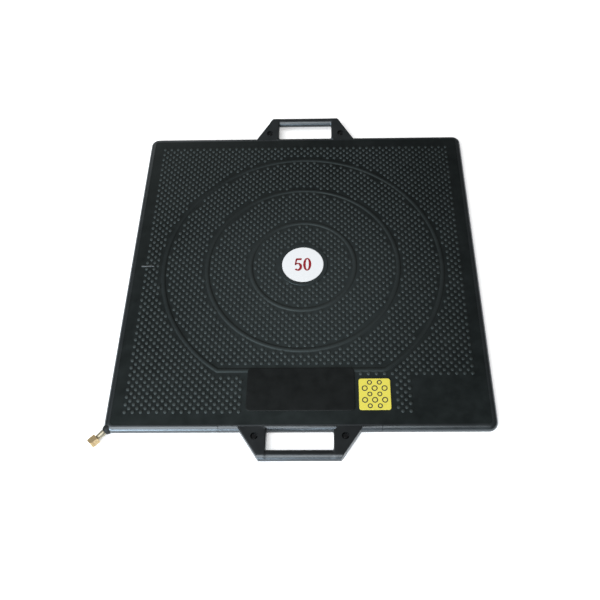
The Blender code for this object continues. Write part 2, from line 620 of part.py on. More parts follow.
def handle_set(name, frame, tilt, sides):
    """A handle with its two anchor tabs and bolts; sides gives x sign and name of each."""
    plate = frame_empty(f"{name}_plate_frame", (0.0, 0.0, 0.0))
    lift = Matrix.Translation((0.0, -EDGE_RADIUS, 0.0)) @ Matrix.Rotation(tilt, 4, "X")
    plate.matrix_world = frame.matrix_world @ lift
    handle = make_object(f"{name}_handle", base_strip(), HANDLE_RUBBER, frame, smooth_angle=35)
    for sign, side_name in sides:
        part = make_object(f"{name}_{side_name}_cheek", cheek(sign, tilt), HANDLE_RUBBER, plate)
        combine(handle, part, "UNION")
    combine(handle, make_object(f"{name}_grip", grip_bar(), HANDLE_RUBBER, plate), "UNION")
    notch = bmesh.new()
    bmesh.ops.create_cube(notch, size=1.0)
    notch_depth = 2 * HANDLE_NOTCH_DEPTH
    size = Matrix.Diagonal((HANDLE_BASE_LENGTH + 2 * GAP, notch_depth, 3 * BODY_HEIGHT, 1.0))
    bmesh.ops.transform(notch, matrix=size, verts=notch.verts)
    combine(EDGE_BAND, make_object(f"{name}_notch", notch, RUBBER, frame), "DIFFERENCE")
    for sign, side_name in sides:
        place = (sign * BOLT_SPACING / 2, 0.0, 0.0)
        bolt_place = (sign * BOLT_SPACING / 2, BOLT_STATION, 0.0)
        prefix = f"{name}_{side_name}"
        slot = make_object(f"{prefix}_slot", tab_solid(GAP, tilt), RUBBER, frame, place)
        combine(handle, slot, "DIFFERENCE")
        combine(EDGE_BAND, slot, "DIFFERENCE")
        hole = make_object(f"{prefix}_hole", bolt_hole(), RUBBER, plate, bolt_place)
        hole.rotation_euler.z = math.pi / SMALL_STEPS
        combine(handle, hole, "DIFFERENCE")
        tab = make_object(f"{prefix}_tab", tab_solid(0.0, tilt), WEBBING, frame, place)
        combine(tab, hole, "DIFFERENCE")
        make_object(f"{prefix}_bolt", hex_bolt(), STEEL, plate, bolt_place, 35)
        washer_low = COUNTERBORE_FLOOR + GAP
        washer = tube(WASHER_RADIUS, BOLT_RADIUS + GAP, washer_low, washer_low + WASHER_THICKNESS)
        make_object(f"{prefix}_washer", washer, STEEL, plate, bolt_place)
        sleeve = tube(SLEEVE_RADIUS, BOLT_RADIUS + GAP, POCKET_ROOF, COUNTERBORE_FLOOR)
        make_object(f"{prefix}_sleeve", sleeve, STEEL, plate, bolt_place)
        make_object(f"{prefix}_nut", hex_nut(), STEEL, plate, bolt_place)


FRONT_FRAME = frame_empty(
    "front_handle_frame",
    (0.0, -BAG_HALF, MID_HEIGHT),
    Matrix.Rotation(math.pi, 3, "Z").to_quaternion(),
)
REAR_FRAME = frame_empty("rear_handle_frame", (0.0, BAG_HALF, MID_HEIGHT))
handle_set("front", FRONT_FRAME, FRONT_HANDLE_TILT, ((1, "left"), (-1, "right")))
handle_set("rear", REAR_FRAME, REAR_HANDLE_TILT, ((-1, "left"), (1, "right")))

bpy.context.view_layer.update()
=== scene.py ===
import math

import bpy
import numpy as np
from mathutils import Matrix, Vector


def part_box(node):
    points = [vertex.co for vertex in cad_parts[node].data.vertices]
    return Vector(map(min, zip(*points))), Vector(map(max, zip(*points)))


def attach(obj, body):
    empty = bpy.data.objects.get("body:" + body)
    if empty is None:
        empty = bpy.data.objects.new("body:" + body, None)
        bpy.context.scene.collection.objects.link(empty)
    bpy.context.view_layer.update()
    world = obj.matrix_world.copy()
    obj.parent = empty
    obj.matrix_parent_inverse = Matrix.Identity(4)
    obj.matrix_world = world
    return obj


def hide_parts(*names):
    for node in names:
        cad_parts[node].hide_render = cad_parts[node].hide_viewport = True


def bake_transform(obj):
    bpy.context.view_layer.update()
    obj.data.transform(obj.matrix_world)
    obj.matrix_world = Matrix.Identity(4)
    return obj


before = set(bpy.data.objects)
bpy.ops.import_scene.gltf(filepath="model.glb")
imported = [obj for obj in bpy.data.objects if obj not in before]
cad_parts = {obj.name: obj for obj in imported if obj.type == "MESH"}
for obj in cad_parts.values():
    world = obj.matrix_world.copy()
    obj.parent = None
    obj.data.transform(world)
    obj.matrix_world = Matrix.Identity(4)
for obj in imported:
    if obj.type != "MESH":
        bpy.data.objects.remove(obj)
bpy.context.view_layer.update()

# Lower cover: the moulded rubber skin that lies on the ground.  It is pressed in one mould with
# its ring ribs, plain centre pad and rows of round grip nubs, and bonded to the cord plies.
BAG_HALF = 0.4000
SHEET_HALF = 0.3867
SHEET = (-SHEET_HALF, SHEET_HALF, -SHEET_HALF, SHEET_HALF)
MID_HEIGHT = 0.0125
FACE_HEIGHT = 0.0105
COVER_THICKNESS = 0.003
COVER_CORNER = 0.0067
COVER_CELL = 0.0105
RELIEF = 0.002
RIB_RADII = (0.120, 0.220, 0.320)
RIB_BASE_HALF = 0.0057
RIB_PEAK_HALF = 0.0016
RIB_CREST_SHARE = 0.5
ROOT_DEPTH = 0.001
PAD_RADIUS = 0.057
PAD_BEVEL = 0.0006
PAD_ROOT = 0.003
PAD_CLEARING = 0.060
NUB_STEP = 0.008365
NUB_LIMIT = 43
NUB_RADIUS = 0.0042
NUB_CLEARANCE = 0.0036


def quad_grid(rows, columns, wrap_rows=False, wrap_columns=False):
    """Quads between neighbours on a rows by columns grid; a wrapped side joins last to first."""
    r, c = np.meshgrid(
        np.arange(rows if wrap_rows else rows - 1),
        np.arange(columns if wrap_columns else columns - 1),
        indexing="ij",
    )
    r_next, c_next = (r + 1) % rows, (c + 1) % columns
    corners = (r * columns + c, r * columns + c_next, r_next * columns + c_next, r_next * columns + c)
    return np.stack(corners, -1).reshape(-1, 4)


def outward(points, faces):
    """Turns a closed shell's faces round where its signed volume, the sum of a.(b x c), is negative."""
    volume = 0.0
    for face in faces:
        for k in range(1, face.shape[1] - 1):
            a, b, c = points[face[:, 0]], points[face[:, k]], points[face[:, k + 1]]
            volume += np.einsum("ij,ij->", a, np.cross(b, c))
    return [face[:, ::-1] for face in faces] if volume < 0 else list(faces)


def make_piece(name, shells, material, smooth_angle=40.0):
    """Puts closed shells, each of points and arrays of faces, into one mesh at the origin."""
    points, faces, start = [], [], 0
    for shell_points, shell_faces in shells:
        for face in outward(shell_points, shell_faces):
            faces += (face + start).tolist()
        points.append(shell_points)
        start += len(shell_points)
    mesh = bpy.data.meshes.new(name)
    mesh.from_pydata(np.concatenate(points).tolist(), [], faces)
    mesh.materials.append(material)
    mesh.shade_smooth()
    mesh.set_sharp_from_angle(angle=math.radians(smooth_angle))
    piece = bpy.data.objects.new(name, mesh)
    bpy.context.scene.collection.objects.link(piece)
    return piece


def add_node(tree, kind, **settings):
    """Adds a shader node; each setting is a property of it, or else the input of that name."""
    node = tree.nodes.new("ShaderNode" + kind)
    for key, value in settings.items():
        if hasattr(node, key):
            setattr(node, key, value)
        else:
            node.inputs[key.replace("_", " ")].default_value = value
    return node


def noise_node(tree, scale, detail=4.0, roughness=0.55):
    """Noise on Object coordinates, so that it stays put on the piece."""
    place = add_node(tree, "TexCoord")
    noise = add_node(tree, "TexNoise", Scale=scale, Detail=detail, Roughness=roughness)
    tree.links.new(place.outputs["Object"], noise.inputs["Vector"])
    return noise.outputs["Fac"]


def spread(tree, source, low, high, from_low=0.3, from_high=0.7):
    """Stretches a value's range: low + (high - low)(value - from_low) / (from_high - from_low), held
    between low and high."""
    ramp = add_node(tree, "MapRange")
    ramp.inputs["From Min"].default_value = from_low
    ramp.inputs["From Max"].default_value = from_high
    ramp.inputs["To Min"].default_value = low
    ramp.inputs["To Max"].default_value = high
    tree.links.new(source, ramp.inputs["Value"])
    return ramp.outputs["Result"]


def mix_colours(tree, factor, first, second):
    """first (1 - factor) + second factor, where a colour is three numbers or another node's output.
    The node's colour sockets are inputs 6 and 7 and output 2."""
    mix = add_node(tree, "Mix", data_type="RGBA")
    tree.links.new(factor, mix.inputs["Factor"])
    for socket, colour in ((mix.inputs[6], first), (mix.inputs[7], second)):
        if isinstance(colour, tuple):
            socket.default_value = (*colour, 1.0)
        else:
            tree.links.new(colour, socket)
    return mix.outputs[2]


def add_bump(tree, shader, source, distance, strength=0.6):
    """Tilts the shading as if the surface rose by the source's value times a distance in metres."""
    bump = add_node(tree, "Bump", Strength=strength, Distance=distance)
    tree.links.new(source, bump.inputs["Height"])
    tree.links.new(bump.outputs["Normal"], shader.inputs["Normal"])


def painted_light_share(tree, spot, near, far):
    """How much painted light a place gets: all within near of a spot seen from above, none beyond far
    from it, and a smooth fall between."""
    place = add_node(tree, "TexCoord")
    flat = add_node(tree, "VectorMath", operation="MULTIPLY")
    flat.inputs[1].default_value = (1.0, 1.0, 0.0)
    away = add_node(tree, "VectorMath", operation="DISTANCE")
    away.inputs[1].default_value = (*spot, 0.0)
    tree.links.new(place.outputs["Object"], flat.inputs[0])
    tree.links.new(flat.outputs["Vector"], away.inputs[0])
    share = add_node(tree, "MapRange", interpolation_type="SMOOTHSTEP")
    share.inputs["From Min"].default_value = near
    share.inputs["From Max"].default_value = far
    share.inputs["To Min"].default_value = 1.0
    share.inputs["To Max"].default_value = 0.0
    tree.links.new(away.outputs["Value"], share.inputs["Value"])
    return share.outputs["Result"]


def rubber_material(
    name, dark, light, dust, roughness, grain=0.00008, vary=0.08, shine=0.5, tint=(1, 1, 1),
    worn_and_painted_light=None, wear_and_painted_light=None,
):
    """Moulded rubber: cloudy black, a thin dust film in patches, a fine grain from the mould, and a
    paler colour of painted light where it and its place are given."""
    material = bpy.data.materials.new(name)
    material.use_nodes = True
    tree = material.node_tree
    shader = tree.nodes["Principled BSDF"]
    tone = mix_colours(tree, spread(tree, noise_node(tree, 9.0), 0.0, 1.0), dark, light)
    film = spread(tree, noise_node(tree, 26.0, 8.0, 0.7), 0.0, 0.5, 0.5, 0.8)
    colour = mix_colours(tree, film, tone, dust)
    # Painted light: a paler colour about a spot in plan.
    if worn_and_painted_light:
        colour = mix_colours(tree, painted_light_share(tree, *wear_and_painted_light), colour, worn_and_painted_light)
    tree.links.new(colour, shader.inputs["Base Color"])
    gloss = spread(tree, noise_node(tree, 40.0, 6.0), roughness - vary, roughness + vary)
    tree.links.new(gloss, shader.inputs["Roughness"])
    shader.inputs["Specular IOR Level"].default_value = shine
    shader.inputs["Specular Tint"].default_value = (*tint, 1.0)
    add_bump(tree, shader, noise_node(tree, 700.0, 3.0, 0.6), grain)
    return material


def sheet_shell(outline, corner, low, high, cell, shoulder=0.0):
    """A flat sheet over x0, x1, y0, y1.  Each corner square of its grid is pressed into a quarter
    disc: a point keeps its direction and its larger side becomes its distance.  A shoulder rounds
    the top edge: the outer loops drop by all of it and by 0.3 of it."""
    x0, x1, y0, y1 = outline
    core_x, core_y = (x1 - x0) / 2 - corner, (y1 - y0) / 2 - corner
    loops = np.array([1.0, 0.3, 0.0]) if shoulder else np.array([0.0])
    side = np.concatenate([corner * np.array([0.25, 0.5, 0.75]), corner - shoulder * loops])
    lines = []
    for core in (core_x, core_y):
        inside = np.linspace(-core, core, round(2 * core / cell) + 1)
        lines.append(np.concatenate([-core - side[::-1], inside, core + side]))
    x, y = np.meshgrid(*lines, indexing="ij")
    p = np.clip((np.abs(x) - core_x) / corner, 0.0, 1.0)
    q = np.clip((np.abs(y) - core_y) / corner, 0.0, 1.0)
    larger = np.maximum(p, q)
    pull = np.where((p > 0) & (q > 0), corner * larger / np.maximum(np.hypot(p, q), 1e-9), corner)
    x = np.where(p > 0, np.sign(x) * (core_x + pull * p), x) + (x0 + x1) / 2
    y = np.where(q > 0, np.sign(y) * (core_y + pull * q), y) + (y0 + y1) / 2
    top = np.full(x.shape, high)
    if shoulder:
        inset = corner * (1 - larger)
        top -= np.interp(inset, [0.0, 0.3 * shoulder, shoulder], [shoulder, 0.3 * shoulder, 0.0])
    bottom = np.full(x.shape, low)
    points = np.concatenate([np.stack([x, y, z], -1).reshape(-1, 3) for z in (top, bottom)])
    upper = quad_grid(*x.shape)
    index = np.arange(x.size).reshape(x.shape)
    edge = np.concatenate([index[:-1, 0], index[-1, :-1], index[:0:-1, -1], index[0, :0:-1]])
    after = np.roll(edge, -1)
    wall = np.stack([edge, after, after + x.size, edge + x.size], -1)
    return points, [upper[:, ::-1], upper + x.size, wall]


def ring_path(radius, chord, steps, chord_steps=40):
    """A circle, or a circle cut by a straight chord in front: the arc's angle runs over
    what the chord leaves, and the chord itself is sampled evenly."""
    if chord is None:
        angle = np.linspace(0.0, 2 * np.pi, steps, endpoint=False)
        return np.stack([radius * np.cos(angle), radius * np.sin(angle)], -1)
    sweep = np.pi - np.arccos(chord / radius)
    angle = np.pi / 2 + sweep * np.linspace(-1.0, 1.0, steps - chord_steps)
    arc = np.stack([radius * np.cos(angle), radius * np.sin(angle)], -1)
    share = np.linspace(0.0, 1.0, chord_steps + 2)[1:-1, None]
    return np.concatenate([arc, arc[-1] + share * (arc[0] - arc[-1])])


def rib_shell(radius, chord, surface, side, steps=192):
    """A rib: a round-shouldered section carried along the ring.  The height climbs from the foot as
    a smooth step that would reach the full relief at RIB_PEAK_HALF; a flat crest cuts it off first."""
    flank = np.linspace(RIB_CREST_SHARE, 1.0, 8)
    across = np.concatenate([-flank[::-1], flank])
    slope = np.clip((1.0 - np.abs(across)) / (1.0 - RIB_PEAK_HALF / RIB_BASE_HALF), 0.0, 1.0)
    height = RELIEF * slope * slope * (3 - 2 * slope)
    offset = np.concatenate([across * RIB_BASE_HALF, [RIB_BASE_HALF, -RIB_BASE_HALF]])
    height = np.concatenate([height, [-ROOT_DEPTH, -ROOT_DEPTH]])
    loops = []
    for step, rise in zip(offset, height):
        path = ring_path(radius + step, None if chord is None else chord + step, steps)
        loops.append(np.column_stack([path, np.full(len(path), surface + side * rise)]))
    points = np.concatenate(loops)
    return points, [quad_grid(len(offset), steps, True, True)]


def turned_shell(profile, steps, closed):
    """A section of radius and height turned about Z; closed joins its last point to its first,
    otherwise both ends are capped."""
    profile = np.asarray(profile, float)
    angle = np.linspace(0.0, 2 * np.pi, steps, endpoint=False)
    radius, height = profile[:, 0, None], profile[:, 1, None]
    points = np.stack([
        radius * np.cos(angle), radius * np.sin(angle), height + 0.0 * angle
    ], -1).reshape(-1, 3)
    faces = [quad_grid(len(profile), steps, closed, True)]
    if not closed:
        faces.append(np.arange(steps)[None, ::-1])
        faces.append((np.arange(steps) + steps * (len(profile) - 1))[None, :])
    return points, faces


def nub_shell(places, surface, side, sides=8):
    """Round grip nubs at many places: one many-sided dome, repeated by adding each place."""
    radius = NUB_RADIUS * np.array([1.0, 0.97, 0.86, 0.60])
    rise = RELIEF * np.array([-0.15, 0.35, 0.75, 0.95])
    angle = np.linspace(0.0, 2 * np.pi, sides, endpoint=False) + np.pi / sides
    dome = np.stack([
        radius[:, None] * np.cos(angle), radius[:, None] * np.sin(angle),
        side * (rise[:, None] + 0.0 * angle),
    ], -1).reshape(-1, 3)
    dome = np.concatenate([dome, [[0.0, 0.0, side * RELIEF]]])
    quads = quad_grid(4, sides, False, True)
    ring = np.arange(sides)
    tip = np.stack([3 * sides + ring, 3 * sides + (ring + 1) % sides, np.full(sides, 4 * sides)], -1)
    foot = ring[None, ::-1]
    starts = (np.arange(len(places)) * len(dome))[:, None, None]
    points = dome[None] + np.column_stack([places, np.full(len(places), surface)])[:, None]
    faces = [
        (face[None] + starts).reshape(-1, face.shape[1]) for face in (quads, tip, foot)
    ]
    return points.reshape(-1, 3), faces


def nub_places(blocked):
    """Staggered rows: the points i, j of a square grid where i + j is even, less blocked ones."""
    i, j = np.meshgrid(np.arange(-NUB_LIMIT, NUB_LIMIT + 1), np.arange(-NUB_LIMIT, NUB_LIMIT + 1))
    even = (i + j) % 2 == 0
    places = NUB_STEP * np.stack([i[even], j[even]], -1)
    return places[~blocked(places[:, 0], places[:, 1])]


def near_rings(x, y, radii):
    """True within half a rib's foot and the nubs' clearance of a ring's own line."""
    distance = np.hypot(x, y)
    return np.any([np.abs(distance - r) < RIB_BASE_HALF + NUB_CLEARANCE for r in radii], axis=0)


def lower_blocked(x, y):
    """Places with no nub on the lower cover: the ribs and the centre pad."""
    return near_rings(x, y, RIB_RADII) | (np.hypot(x, y) < PAD_CLEARING)


def fill_with_air(piece):
    """Bakes the piece's placement into its mesh and reads out its points; it moves none of them.  The
    skins' doming as the bag fills, a point's share of the lift being (1 - |x/a|^p)(1 - |y/a|^p), none at
    the edge band and all at the middle, is not applied here."""
    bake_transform(piece)
    count = len(piece.data.vertices)
    points = np.empty(count * 3, np.float32)
    piece.data.vertices.foreach_get("co", points)


# TEAL tints the rubber's shine.  A painted light place is its spot in plan, then its near and far
# distances.
TEAL = (0.82, 1.0, 0.98)
# Painted sheen: the covers and ribs turn paler about the middle of the bag.
PAINTED_MIDDLE_SHEEN = ((0.0, -0.075), 0.03, 0.40)
# Painted light falloff: the nub tops turn paler towards the left and darker towards the right.
PAINTED_LEFT_LIGHT = ((-0.60, 0.0), 0.75, 1.08)
# The cover rubber and the rib rubber carry the painted sheen about the middle.
cover_rubber = rubber_material(
    "cover_rubber", (0.0034, 0.0041, 0.0041), (0.0062, 0.0074, 0.0074), (0.013, 0.0153, 0.0153), 0.43,
    shine=0.36, tint=TEAL, worn_and_painted_light=(0.0185, 0.0220, 0.0220), wear_and_painted_light=PAINTED_MIDDLE_SHEEN,
)
rib_rubber = rubber_material(
    "rib_rubber", (0.0062, 0.0073, 0.0072), (0.0096, 0.0110, 0.0108), (0.016, 0.0172, 0.0168), 0.60,
    shine=0.28, tint=TEAL, worn_and_painted_light=(0.0182, 0.0208, 0.0203), wear_and_painted_light=PAINTED_MIDDLE_SHEEN,
)
# The nubs are paler than the cover: partly dust on their tops, partly a painted highlight on them.
nub_rubber = rubber_material(
    "nub_rubber", (0.0120, 0.0139, 0.0136), (0.0175, 0.0197, 0.0192), (0.026, 0.0280, 0.0275), 0.50,
    # painted light falloff: the nubs turn paler towards the left
    shine=0.40, tint=TEAL, worn_and_painted_light=(0.0290, 0.0331, 0.0323), wear_and_painted_light=PAINTED_LEFT_LIGHT,
)
LOWER_FACE = MID_HEIGHT - FACE_HEIGHT
pad_profile = [(PAD_RADIUS, PAD_ROOT), (PAD_RADIUS, PAD_BEVEL), (PAD_RADIUS - PAD_BEVEL, 0.0)]
lower_skin = make_piece(
    "lower_cover_skin",
    [sheet_shell(SHEET, COVER_CORNER, LOWER_FACE, LOWER_FACE + COVER_THICKNESS, COVER_CELL)],
    cover_rubber,
)
lower_ribs = make_piece(
    "lower_cover_ribs",
    [
        *(rib_shell(radius, None, LOWER_FACE, -1) for radius in RIB_RADII),
        turned_shell(pad_profile, 96, False),
    ],
    rib_rubber,
)
lower_nubs = make_piece(
    "lower_cover_nubs",
    [nub_shell(nub_places(lower_blocked), LOWER_FACE, -1, sides=7)],
    nub_rubber,
)
for piece in (lower_skin, lower_ribs, lower_nubs):
    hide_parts("lower_cover")
    fill_with_air(piece)

# Lower laminate: three sheets of aramid cord set in rubber and an airtight butyl liner, laid up
# crosswise on the cover and cured to it.  They dome with the cover, so each is a thin sheet.
PLY_CORNER = 0.036
PLY_CELL = 0.0146


def cord_material(name, cord, gum, turn):
    """Cord ply: parallel cords, a sine across the sheet, showing through rubber."""
    material = bpy.data.materials.new(name)
    material.use_nodes = True
    tree = material.node_tree
    shader = tree.nodes["Principled BSDF"]
    place = add_node(tree, "TexCoord")
    mapping = add_node(tree, "Mapping")
    mapping.inputs["Rotation"].default_value = (0.0, 0.0, turn)
    wave = add_node(tree, "TexWave", Scale=180.0, Distortion=0.4)
    tree.links.new(place.outputs["Object"], mapping.inputs["Vector"])
    tree.links.new(mapping.outputs["Vector"], wave.inputs["Vector"])
    tree.links.new(mix_colours(tree, wave.outputs["Fac"], gum, cord), shader.inputs["Base Color"])
    shader.inputs["Roughness"].default_value = 0.7
    add_bump(tree, shader, wave.outputs["Fac"], 0.0003)
    return material


ply_cord = cord_material("aramid_cord", (0.50, 0.38, 0.12), (0.06, 0.05, 0.03), 0.0)
cross_cord = cord_material("aramid_cross_cord", (0.50, 0.38, 0.12), (0.06, 0.05, 0.03), math.pi / 2)
liner_rubber = rubber_material(
    "liner_rubber", (0.022, 0.020, 0.018), (0.032, 0.028, 0.025), (0.05, 0.05, 0.045), 0.6
)


def laminate(half_name):
    """The sheets between a cover and the air chamber, each at the height of its solid."""
    layers = (("outer_ply", ply_cord), ("middle_ply", cross_cord), ("inner_ply", ply_cord),
              ("liner", liner_rubber))
    for layer, material in layers:
        node = f"{half_name}_{layer}"
        low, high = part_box(node)
        sheet = make_piece(
            f"{node}_sheet", [sheet_shell(SHEET, PLY_CORNER, low.z, high.z, PLY_CELL)], material
        )
        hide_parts(node)
        fill_with_air(sheet)


laminate("lower")

# Edge band: the half-round rubber edge that joins both skins all round.  It is moulded in one
# length, notched front and rear where the handle bases sit, with a tapered boss for the inlet.
BAND_WIDTH = 0.0130
EDGE_RADIUS = 0.0105
OUTER_CORNER = 0.0200
NOTCH_HALF = 0.1663
NOTCH_DEPTH = 0.0100
INLET_CENTRE = np.array([-0.380, -0.380, MID_HEIGHT])
INLET_AXIS = np.array([-1.0, -1.0, 0.0]) / math.sqrt(2.0)
BOSS_START = 0.0110
BOSS_END = 0.0250
BOSS_BORE = 0.0053
BOSS_RADIUS = 0.0101

# SKY tints the shine of the glossier rubber of the edge and the handles.
SKY = (0.86, 0.94, 1.0)
edge_rubber = rubber_material(
    "edge_rubber", (0.0055, 0.0068, 0.0068), (0.0100, 0.0120, 0.0120), (0.024, 0.027, 0.027), 0.33,
    grain=0.000004, vary=0.03, shine=1.0, tint=SKY,
)


def edge_section(inner, steps=24):
    """The edge's section as offset and height: a flat inner wall and a half circle outside."""
    angle = np.linspace(-np.pi / 2, np.pi / 2, steps + 1)
    offset = -EDGE_RADIUS + EDGE_RADIUS * np.cos(angle)
    return (np.concatenate([[inner], offset, [inner]]),
            np.concatenate([[-EDGE_RADIUS], EDGE_RADIUS * np.sin(angle), [EDGE_RADIUS]]))


def band_shell(corner_steps=17):
    """The section carried round a square with round corners.  Each station has a base point, an
    outward normal and a limit that clips the section back to the web in the notches."""
    core = BAG_HALF - OUTER_CORNER
    base, normal, limit = [], [], []
    for quarter, (sx, sy) in enumerate(((1, 1), (-1, 1), (-1, -1), (1, -1))):
        angle = np.pi / 2 * (quarter + np.linspace(0.0, 1.0, corner_steps))
        base.append(np.tile([sx * core, sy * core], (corner_steps, 1)))
        normal.append(np.stack([np.cos(angle), np.sin(angle)], -1))
        limit.append(np.zeros(corner_steps))
        if quarter in (0, 2):
            sign = 1.0 if quarter == 0 else -1.0
            x = sign * NOTCH_HALF * np.array([1.0, 1.0, -1.0, -1.0])
            base.append(np.stack([x, np.full(len(x), sign * core)], -1))
            normal.append(np.tile([0.0, sign], (len(x), 1)))
            limit.append(np.array([0.0, -NOTCH_DEPTH, -NOTCH_DEPTH, 0.0]))
    base, normal, limit = np.concatenate(base), np.concatenate(normal), np.concatenate(limit)
    offset, height = edge_section(-BAND_WIDTH)
    out = OUTER_CORNER + np.minimum(offset[None, :], limit[:, None])
    plan = base[:, None, :] + normal[:, None, :] * out[..., None]
    points = np.concatenate(
        [plan, np.broadcast_to(MID_HEIGHT + height[None, :, None], (*out.shape, 1))], -1
    )
    return points.reshape(-1, 3), [quad_grid(len(base), len(offset), True, True)]


def along_inlet(shell):
    """Stands a shell turned about Z on the inlet axis, its heights running outwards."""
    points, faces = shell
    across = np.array([1.0, -1.0, 0.0]) / math.sqrt(2.0)
    turned = (INLET_CENTRE + points[:, :1] * across + points[:, 1:2] * np.array([0.0, 0.0, 1.0])
              + points[:, 2:] * INLET_AXIS)
    return turned, faces


boss_profile = [(BOSS_BORE, BOSS_START), (BOSS_RADIUS, BOSS_START), (BOSS_RADIUS, 0.0188),
                (0.0099, 0.0196), (0.0077, 0.0240), (0.0073, 0.0247), (0.0067, BOSS_END),
                (BOSS_BORE, BOSS_END)]
boss_rubber = rubber_material(
    "boss_rubber", (0.0050, 0.0060, 0.0060), (0.0085, 0.0098, 0.0098), (0.016, 0.018, 0.018), 0.62,
    shine=0.25,
)
edge_roll = make_piece("edge_band_roll", [band_shell()], edge_rubber, smooth_angle=35.0)
inlet_boss = make_piece(
    "edge_band_boss", [along_inlet(turned_shell(boss_profile, 48, True))], boss_rubber,
    smooth_angle=35.0,
)
for piece in (edge_roll, inlet_boss):
    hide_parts("edge_band")
    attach(piece, "rim")

# Anchor tabs and sleeves: rubbered webbing tongues that run from between the liners into each
# handle cheek, and the steel sleeves that take the bolts' clamping.  Both lie inside the rubber.
webbing = cord_material("tab_webbing", (0.045, 0.045, 0.05), (0.012, 0.012, 0.013), 0.0)


def metal_material(name, bright, dull, roughness, scratch):
    """Plated or turned metal: two tones in fine cloud, smoother where it is brighter, and a bump from
    a cloud four times as fine."""
    material = bpy.data.materials.new(name)
    material.use_nodes = True
    tree = material.node_tree
    shader = tree.nodes["Principled BSDF"]
    cloud = noise_node(tree, scratch, 6.0, 0.65)
    tone = mix_colours(tree, spread(tree, cloud, 0.0, 1.0), dull, bright)
    tree.links.new(tone, shader.inputs["Base Color"])
    tree.links.new(spread(tree, cloud, roughness + 0.1, roughness - 0.05), shader.inputs["Roughness"])
    shader.inputs["Metallic"].default_value = 1.0
    add_bump(tree, shader, noise_node(tree, scratch * 4.0, 2.0), 0.00004, 0.4)
    return material


# The plated metal is coloured near black: a painted shade of the counterbores and pockets that the bolt
# heads and nuts sit in.
zinc_steel = metal_material("zinc_steel", (0.070, 0.072, 0.075), (0.020, 0.021, 0.022), 0.34, 320.0)
CORNERS = ("front_left", "front_right", "rear_left", "rear_right")
for corner in CORNERS:
    for node, material in ((f"{corner}_tab", webbing), (f"{corner}_sleeve", zinc_steel)):
        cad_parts[node].data.materials.clear()
        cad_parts[node].data.materials.append(material)

# Carry handles: one glossy rubber moulding each, a half-round base in the band's notch, two flat
# cheeks and an oval grip, tilted up so that a hand gets under it.  Each cheek is counterbored
# for the bolt that clamps it to its tab.
HANDLE_REACH = 0.0613
FRONT_TILT = math.radians(4.0)
REAR_TILT = math.radians(12.0)
CHEEK_ROOT = 0.1225
CHEEK_TIP = 0.0816
GAP_HALF = 0.068
GAP_CORNER = 0.0045
GRIP_WIDTH = 0.0225
GRIP_THICKNESS = 0.0200
NOSE_CENTRE = HANDLE_REACH - EDGE_RADIUS
GRIP_CENTRE = HANDLE_REACH - GRIP_WIDTH / 2
HANDLE_BACK = -0.0097
HANDLE_SMOOTH = 35.0
CHEEK_EDGE = 0.0022
CHEEK_FOOT = 0.003
BASE_HALF = 0.1660
BASE_LOOP = 0.08
BASE_BEVEL = 0.0005
BASE_SHRINK = 0.0004
BASE_INSET = 0.0006
BOW_SEAM = 0.0004
GRIP_SEAM = 0.0001
THINNEST = 0.00005
TRIM_REACH = (0.2, 0.04, 0.03)
TRIM_EASE = 0.0003
BOLT_X = 0.0915
BOLT_Y = 0.0125
BOLT_HOLE = 0.0049
COUNTERBORE = 0.0076
BORE_FLOOR = 0.0030
BORE_REACH = 0.013
POCKET_ROOF = -0.0051

handle_rubber = rubber_material(
    "handle_rubber", (0.0026, 0.0030, 0.0029), (0.0050, 0.0056, 0.0054), (0.013, 0.014, 0.0135), 0.36,
    grain=0.000004, vary=0.03, shine=1.0, tint=SKY,
)


def bow_height(x, y):
    """Half-height of the bow.  Cheek: flat, falling as a quarter circle at its nose and sides.
    Grip: a half ellipse about its centre.  Base bar: inside the half-round base."""
    side = np.abs(x)
    slope = (CHEEK_ROOT - CHEEK_TIP) / HANDLE_REACH
    slant = (CHEEK_ROOT - slope * y - side) / math.hypot(1.0, slope)

    def shoulder(depth):
        """A quarter circle over the edge's width inside it, and a foot that falls as a cube outside."""
        inside = np.clip(depth, 0.0, CHEEK_EDGE)
        top = EDGE_RADIUS - CHEEK_EDGE + np.sqrt(CHEEK_EDGE ** 2 - (CHEEK_EDGE - inside) ** 2)
        foot = np.clip(1.0 + depth / CHEEK_FOOT, 0.0, 1.0)
        return np.where(depth >= 0, top, (EDGE_RADIUS - CHEEK_EDGE) * foot ** 3)

    nose = np.sqrt(np.clip(EDGE_RADIUS ** 2 - np.clip(y - NOSE_CENTRE, 0.0, None) ** 2, 0.0, None))
    cheek = np.minimum(np.minimum(nose, shoulder(side - GAP_HALF)), shoulder(np.maximum(slant, 0.0)))
    across = (y - GRIP_CENTRE) / (GRIP_WIDTH / 2)
    grip = GRIP_THICKNESS / 2 * np.sqrt(np.clip(1.0 - across ** 2, 0.0, None))
    base = np.sqrt(np.clip(EDGE_RADIUS ** 2 - (y + EDGE_RADIUS) ** 2, 0.0, None)) - BASE_INSET
    return np.maximum(np.maximum(cheek, grip), np.maximum(np.where(y < 0, base, 0.0), 0.0))


